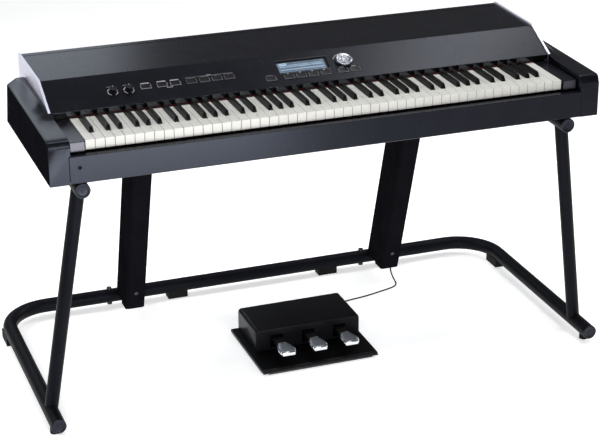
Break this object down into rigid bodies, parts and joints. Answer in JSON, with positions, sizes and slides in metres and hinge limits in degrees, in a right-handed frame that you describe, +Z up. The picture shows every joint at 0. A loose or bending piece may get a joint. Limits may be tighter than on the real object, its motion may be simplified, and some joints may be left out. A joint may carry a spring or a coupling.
{
  "type": "digital piano on stand",
  "caption": "Digital stage piano with weighted keys and sloped control panel on a black tubular steel stand, with a triple pedal unit on the floor.",
  "frame": {"origin": "on the floor under the middle of the stand's footprint", "axes": "+X to the player's right along the keyboard, +Y from the player towards the back, +Z up"},
  "size_m": [1.48, 0.706, 0.8157],
  "materials": {
    "case": "satin",
    "casing_plastic": "satin",
    "side_trim": "satin",
    "felt": "matte",
    "steel": "brushed",
    "display": "gloss",
    "board": "matte",
    "psu": "satin",
    "socket": "matte",
    "white_key": "satin",
    "black_key": "satin",
    "control": "satin",
    "dial": "satin",
    "stand": "satin",
    "cap": "satin",
    "rubber": "matte",
    "pedal_box": "satin",
    "pedal_base": "satin",
    "pedal": "polished",
    "cable": "matte"
  },
  "bodies": {
    "piano_and_stand": {"bottom_case": "case", "top_lid": "case", "control_panel": "case", "rear_panel": "case", "end_blocks": "casing_plastic", "front_rail": "casing_plastic", "key_blocks": "casing_plastic", "side_plates": "side_trim", "key_felt": "felt", "key_frame": "steel", "pivot_rods": "steel", "screws_and_bolts": "steel", "display_module": "display", "circuit_boards": "board", "power_supply": "psu", "jack_sockets": "socket", "floor_frame": "stand", "top_frame": "stand", "left_column": "stand", "right_column": "stand", "front_legs": "stand", "tube_caps": "cap", "rubber_pads": "rubber", "pedal_base": "pedal_base", "pedal_housing": "pedal_box", "pedal_cable": "cable", "pedal_plug": "cable"},
    "keys_c": {"keys_c": "white_key"},
    "keys_d": {"keys_d": "white_key"},
    "keys_e": {"keys_e": "white_key"},
    "keys_f": {"keys_f": "white_key"},
    "keys_g": {"keys_g": "white_key"},
    "keys_a": {"keys_a": "white_key"},
    "keys_b": {"keys_b": "white_key"},
    "keys_c_sharp": {"keys_c_sharp": "black_key"},
    "keys_d_sharp": {"keys_d_sharp": "black_key"},
    "keys_f_sharp": {"keys_f_sharp": "black_key"},
    "keys_g_sharp": {"keys_g_sharp": "black_key"},
    "keys_a_sharp": {"keys_a_sharp": "black_key"},
    "button_1": {"button_1": "control"},
    "button_2": {"button_2": "control"},
    "button_3": {"button_3": "control"},
    "button_4": {"button_4": "control"},
    "button_5": {"button_5": "control"},
    "button_6": {"button_6": "control"},
    "button_7": {"button_7": "control"},
    "button_8": {"button_8": "control"},
    "button_9": {"button_9": "control"},
    "button_10": {"button_10": "control"},
    "button_11": {"button_11": "control"},
    "button_12": {"button_12": "control"},
    "button_13": {"button_13": "control"},
    "button_14": {"button_14": "control"},
    "knob_left": {"knob_left": "control"},
    "knob_right": {"knob_right": "control"},
    "value_dial": {"value_dial": "dial"},
    "power_switch": {"power_switch": "control"},
    "pedal_left": {"pedal_left": "pedal"},
    "pedal_middle": {"pedal_middle": "pedal"},
    "pedal_right": {"pedal_right": "pedal"}
  },
  "joints": [
    {"name": "keys_c_press", "type": "hinge", "parent": "piano_and_stand", "child": "keys_c", "pos_m": [0, -0.112, 0.736], "axis": [1, 0, 0], "range_deg": [0, 2.7], "stiffness_Nm_per_rad": 8, "springref_deg": -11.46},
    {"name": "keys_d_press", "type": "hinge", "parent": "piano_and_stand", "child": "keys_d", "pos_m": [0, -0.112, 0.736], "axis": [1, 0, 0], "range_deg": [0, 2.7], "stiffness_Nm_per_rad": 8, "springref_deg": -11.46},
    {"name": "keys_e_press", "type": "hinge", "parent": "piano_and_stand", "child": "keys_e", "pos_m": [0, -0.112, 0.736], "axis": [1, 0, 0], "range_deg": [0, 2.7], "stiffness_Nm_per_rad": 8, "springref_deg": -11.46},
    {"name": "keys_f_press", "type": "hinge", "parent": "piano_and_stand", "child": "keys_f", "pos_m": [0, -0.112, 0.736], "axis": [1, 0, 0], "range_deg": [0, 2.7], "stiffness_Nm_per_rad": 8, "springref_deg": -11.46},
    {"name": "keys_g_press", "type": "hinge", "parent": "piano_and_stand", "child": "keys_g", "pos_m": [0, -0.112, 0.736], "axis": [1, 0, 0], "range_deg": [0, 2.7], "stiffness_Nm_per_rad": 8, "springref_deg": -11.46},
    {"name": "keys_a_press", "type": "hinge", "parent": "piano_and_stand", "child": "keys_a", "pos_m": [0, -0.112, 0.736], "axis": [1, 0, 0], "range_deg": [0, 2.7], "stiffness_Nm_per_rad": 8, "springref_deg": -11.46},
    {"name": "keys_b_press", "type": "hinge", "parent": "piano_and_stand", "child": "keys_b", "pos_m": [0, -0.112, 0.736], "axis": [1, 0, 0], "range_deg": [0, 2.7], "stiffness_Nm_per_rad": 8, "springref_deg": -11.46},
    {"name": "keys_c_sharp_press", "type": "hinge", "parent": "piano_and_stand", "child": "keys_c_sharp", "pos_m": [0, -0.112, 0.736], "axis": [1, 0, 0], "range_deg": [0, 2.7], "stiffness_Nm_per_rad": 3.2, "springref_deg": -11.46},
    {"name": "keys_d_sharp_press", "type": "hinge", "parent": "piano_and_stand", "child": "keys_d_sharp", "pos_m": [0, -0.112, 0.736], "axis": [1, 0, 0], "range_deg": [0, 2.7], "stiffness_Nm_per_rad": 3.2, "springref_deg": -11.46},
    {"name": "keys_f_sharp_press", "type": "hinge", "parent": "piano_and_stand", "child": "keys_f_sharp", "pos_m": [0, -0.112, 0.736], "axis": [1, 0, 0], "range_deg": [0, 2.7], "stiffness_Nm_per_rad": 3.2, "springref_deg": -11.46},
    {"name": "keys_g_sharp_press", "type": "hinge", "parent": "piano_and_stand", "child": "keys_g_sharp", "pos_m": [0, -0.112, 0.736], "axis": [1, 0, 0], "range_deg": [0, 2.7], "stiffness_Nm_per_rad": 3.2, "springref_deg": -11.46},
    {"name": "keys_a_sharp_press", "type": "hinge", "parent": "piano_and_stand", "child": "keys_a_sharp", "pos_m": [0, -0.112, 0.736], "axis": [1, 0, 0], "range_deg": [0, 2.7], "stiffness_Nm_per_rad": 3.2, "springref_deg": -11.46},
    {"name": "button_1_press", "type": "slide", "parent": "piano_and_stand", "child": "button_1", "axis": [0, 0.4365, -0.8997], "range_m": [0, 0.0008], "stiffness_N_per_m": 500, "springref_m": -0.0016},
    {"name": "button_2_press", "type": "slide", "parent": "piano_and_stand", "child": "button_2", "axis": [0, 0.4365, -0.8997], "range_m": [0, 0.0008], "stiffness_N_per_m": 500, "springref_m": -0.0016},
    {"name": "button_3_press", "type": "slide", "parent": "piano_and_stand", "child": "button_3", "axis": [0, 0.4365, -0.8997], "range_m": [0, 0.0008], "stiffness_N_per_m": 500, "springref_m": -0.0016},
    {"name": "button_4_press", "type": "slide", "parent": "piano_and_stand", "child": "button_4", "axis": [0, 0.4365, -0.8997], "range_m": [0, 0.0008], "stiffness_N_per_m": 500, "springref_m": -0.0016},
    {"name": "button_5_press", "type": "slide", "parent": "piano_and_stand", "child": "button_5", "axis": [0, 0.4365, -0.8997], "range_m": [0, 0.0008], "stiffness_N_per_m": 500, "springref_m": -0.0016},
    {"name": "button_6_press", "type": "slide", "parent": "piano_and_stand", "child": "button_6", "axis": [0, 0.4365, -0.8997], "range_m": [0, 0.0008], "stiffness_N_per_m": 500, "springref_m": -0.0016},
    {"name": "button_7_press", "type": "slide", "parent": "piano_and_stand", "child": "button_7", "axis": [0, 0.4365, -0.8997], "range_m": [0, 0.0008], "stiffness_N_per_m": 500, "springref_m": -0.0016},
    {"name": "button_8_press", "type": "slide", "parent": "piano_and_stand", "child": "button_8", "axis": [0, 0.4365, -0.8997], "range_m": [0, 0.0008], "stiffness_N_per_m": 500, "springref_m": -0.0016},
    {"name": "button_9_press", "type": "slide", "parent": "piano_and_stand", "child": "button_9", "axis": [0, 0.4365, -0.8997], "range_m": [0, 0.0008], "stiffness_N_per_m": 500, "springref_m": -0.0016},
    {"name": "button_10_press", "type": "slide", "parent": "piano_and_stand", "child": "button_10", "axis": [0, 0.4365, -0.8997], "range_m": [0, 0.0008], "stiffness_N_per_m": 500, "springref_m": -0.0016},
    {"name": "button_11_press", "type": "slide", "parent": "piano_and_stand", "child": "button_11", "axis": [0, 0.4365, -0.8997], "range_m": [0, 0.0008], "stiffness_N_per_m": 500, "springref_m": -0.0016},
    {"name": "button_12_press", "type": "slide", "parent": "piano_and_stand", "child": "button_12", "axis": [0, 0.4365, -0.8997], "range_m": [0, 0.0008], "stiffness_N_per_m": 500, "springref_m": -0.0016},
    {"name": "button_13_press", "type": "slide", "parent": "piano_and_stand", "child": "button_13", "axis": [0, 0.4365, -0.8997], "range_m": [0, 0.0008], "stiffness_N_per_m": 500, "springref_m": -0.0016},
    {"name": "button_14_press", "type": "slide", "parent": "piano_and_stand", "child": "button_14", "axis": [0, 0.4365, -0.8997], "range_m": [0, 0.0008], "stiffness_N_per_m": 500, "springref_m": -0.0016},
    {"name": "knob_left_turn", "type": "hinge", "parent": "piano_and_stand", "child": "knob_left", "pos_m": [-0.491, -0.11891, 0.78239], "axis": [0, -0.4365, 0.8997], "range_deg": [-150, 150]},
    {"name": "knob_right_turn", "type": "hinge", "parent": "piano_and_stand", "child": "knob_right", "pos_m": [-0.451, -0.11891, 0.78239], "axis": [0, -0.4365, 0.8997], "range_deg": [-150, 150]},
    {"name": "value_dial_turn", "type": "hinge", "parent": "piano_and_stand", "child": "value_dial", "pos_m": [0.108, -0.10722, 0.78806], "axis": [0, -0.4365, 0.8997], "continuous": true},
    {"name": "power_switch_rock", "type": "hinge", "parent": "piano_and_stand", "child": "power_switch", "pos_m": [0.505, 0.164, 0.695], "axis": [1, 0, 0], "range_deg": [0, 14]},
    {"name": "pedal_left_press", "type": "hinge", "parent": "piano_and_stand", "child": "pedal_left", "pos_m": [-0.078, 0.022, 0.041], "axis": [1, 0, 0], "range_deg": [0, 4.5], "stiffness_Nm_per_rad": 20, "springref_deg": -11.46},
    {"name": "pedal_middle_press", "type": "hinge", "parent": "piano_and_stand", "child": "pedal_middle", "pos_m": [0.01, 0.022, 0.041], "axis": [1, 0, 0], "range_deg": [0, 4.5], "stiffness_Nm_per_rad": 20, "springref_deg": -11.46},
    {"name": "pedal_right_press", "type": "hinge", "parent": "piano_and_stand", "child": "pedal_right", "pos_m": [0.098, 0.022, 0.041], "axis": [1, 0, 0], "range_deg": [0, 4.5], "stiffness_Nm_per_rad": 20, "springref_deg": -11.46}
  ]
}
